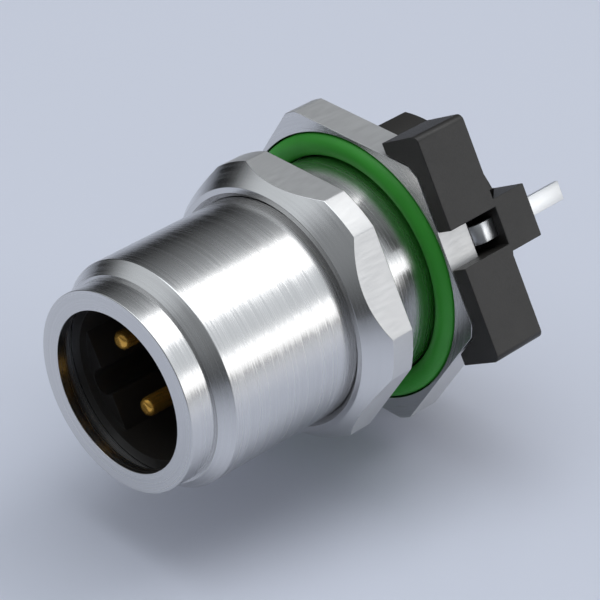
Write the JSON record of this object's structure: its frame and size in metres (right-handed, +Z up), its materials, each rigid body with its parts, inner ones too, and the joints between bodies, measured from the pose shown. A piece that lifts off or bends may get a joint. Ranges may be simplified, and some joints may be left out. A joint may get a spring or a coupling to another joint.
{
  "type": "m12 connector",
  "caption": "Round male panel-mount signal connector: metal barrel, hex flange with green seal ring, lock nut, keyed contact socket and black rear carrier with solder tails.",
  "frame": {"origin": "on the connector's axis, in the plane of the flange face that seats on the panel", "axes": "-Y points out of the mating face, +Y towards the circuit board, +Z up through a flat of the flange, X across"},
  "size_m": [0.0204, 0.0242, 0.0186],
  "materials": {
    "nickel_turned": "turned, nickel plated",
    "nickel_nut": "turned and milled, nickel plated",
    "seal_green": "smooth",
    "seal_black": "smooth",
    "carrier_black": "moulded, finely textured",
    "pin_gold": "gold plated",
    "strip_tinned": "tin plated"
  },
  "bodies": {
    "connector": {"shell": "nickel_turned", "panel_seal": "seal_green", "inner_seal": "seal_black", "contact_carrier": "carrier_black", "contact_pin_1": "pin_gold", "contact_pin_2": "pin_gold", "contact_pin_3": "pin_gold", "contact_pin_4": "pin_gold", "shield_contact_1": "strip_tinned", "shield_contact_2": "strip_tinned"},
    "nut": {"lock_nut": "nickel_nut"}
  },
  "joints": [
    {"name": "lock_nut_turn", "type": "hinge", "parent": "connector", "child": "nut", "pos_m": [0, -0.0045, 0], "axis": [0, 1, 0], "range_deg": [-2820, 980]}
  ]
}
